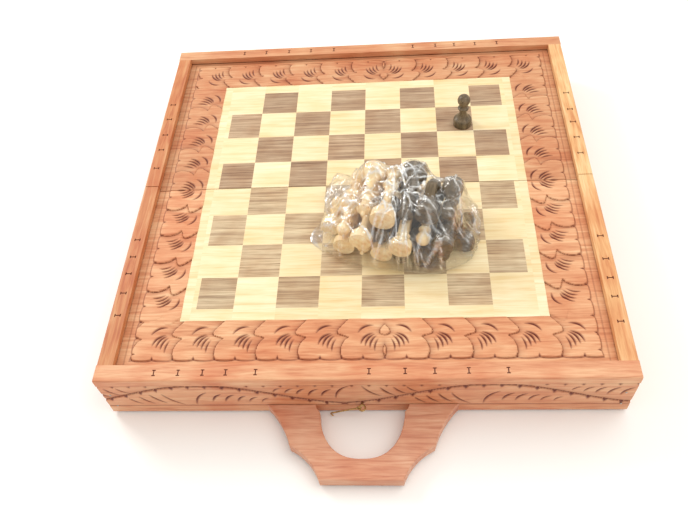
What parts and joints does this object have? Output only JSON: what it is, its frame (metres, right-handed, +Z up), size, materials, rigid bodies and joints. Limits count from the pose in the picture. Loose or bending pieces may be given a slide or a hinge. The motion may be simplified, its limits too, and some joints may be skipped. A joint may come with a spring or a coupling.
{
  "type": "folding chess set",
  "caption": "Folding wooden chess board with carved border and walls, hook latch, flat handle, a standing pawn and the other pieces in a clear film bag.",
  "frame": {"origin": "middle of the whole part's footprint, on the table it lies on", "axes": "+Z up from the table, +Y from the handle towards the back half, +X to the right seen from the handle"},
  "size_m": [0.41, 0.4742, 0.1028],
  "materials": {
    "wall_wood": "satin",
    "carved_border_wood": "satin",
    "handle_wood": "satin",
    "light_veneer": "satin",
    "dark_veneer": "satin",
    "felt": "matt felt",
    "brass": "tarnished",
    "steel_fixings": "satin",
    "light_piece_wood": "satin",
    "dark_piece_wood": "satin",
    "clear_film": "clear soft plastic film"
  },
  "bodies": {
    "front_half": {"front_wall": "wall_wood", "front_left_wall": "wall_wood", "front_right_wall": "wall_wood", "front_hinge_wall": "wall_wood", "front_panel": "carved_border_wood", "front_light_veneer": "light_veneer", "front_dark_squares": "dark_veneer", "handle": "handle_wood", "handle_screws": "steel_fixings", "hook_screw_eye": "brass", "left_hinge_front_leaf": "brass", "right_hinge_front_leaf": "brass", "left_hinge_pin": "brass", "right_hinge_pin": "brass", "front_hinge_screws": "steel_fixings", "front_corner_nails": "steel_fixings", "front_feet": "felt"},
    "back_half": {"back_wall": "wall_wood", "back_left_wall": "wall_wood", "back_right_wall": "wall_wood", "back_hinge_wall": "wall_wood", "back_panel": "carved_border_wood", "back_light_veneer": "light_veneer", "back_dark_squares": "dark_veneer", "catch_screw_eye": "brass", "left_hinge_back_leaf": "brass", "right_hinge_back_leaf": "brass", "back_hinge_screws": "steel_fixings", "back_corner_nails": "steel_fixings", "back_feet": "felt"},
    "latch_hook": {"latch_hook": "brass"},
    "piece_bag": {"plastic_bag": "clear_film", "light_king": "light_piece_wood", "light_queen": "light_piece_wood", "light_bishop_1": "light_piece_wood", "light_bishop_2": "light_piece_wood", "light_knight_1": "light_piece_wood", "light_knight_2": "light_piece_wood", "light_rook_1": "light_piece_wood", "light_rook_2": "light_piece_wood", "light_pawns": "light_piece_wood", "dark_king": "dark_piece_wood", "dark_queen": "dark_piece_wood", "dark_bishop_1": "dark_piece_wood", "dark_bishop_2": "dark_piece_wood", "dark_knight_1": "dark_piece_wood", "dark_knight_2": "dark_piece_wood", "dark_rook_1": "dark_piece_wood", "dark_rook_2": "dark_piece_wood", "dark_pawns": "dark_piece_wood"},
    "dark_pawn": {"standing_dark_pawn": "dark_piece_wood"}
  },
  "joints": [
    {"name": "fold_hinge", "type": "hinge", "parent": "front_half", "child": "back_half", "pos_m": [0, 0.0271, 0.00115], "axis": [-1, 0, 0], "range_deg": [0, 180]},
    {"name": "hook_swing", "type": "hinge", "parent": "front_half", "child": "latch_hook", "pos_m": [-0.00245, -0.1798, 0.0141], "axis": [0, -1, 0], "range_deg": [-110, 68.6]},
    {"name": "bag_lift", "type": "slide", "parent": "front_half", "child": "piece_bag", "axis": [0, 0, 1], "range_m": [0, 0.1]},
    {"name": "pawn_lift", "type": "slide", "parent": "back_half", "child": "dark_pawn", "axis": [0, 0, 1], "range_m": [0, 0.06]}
  ]
}
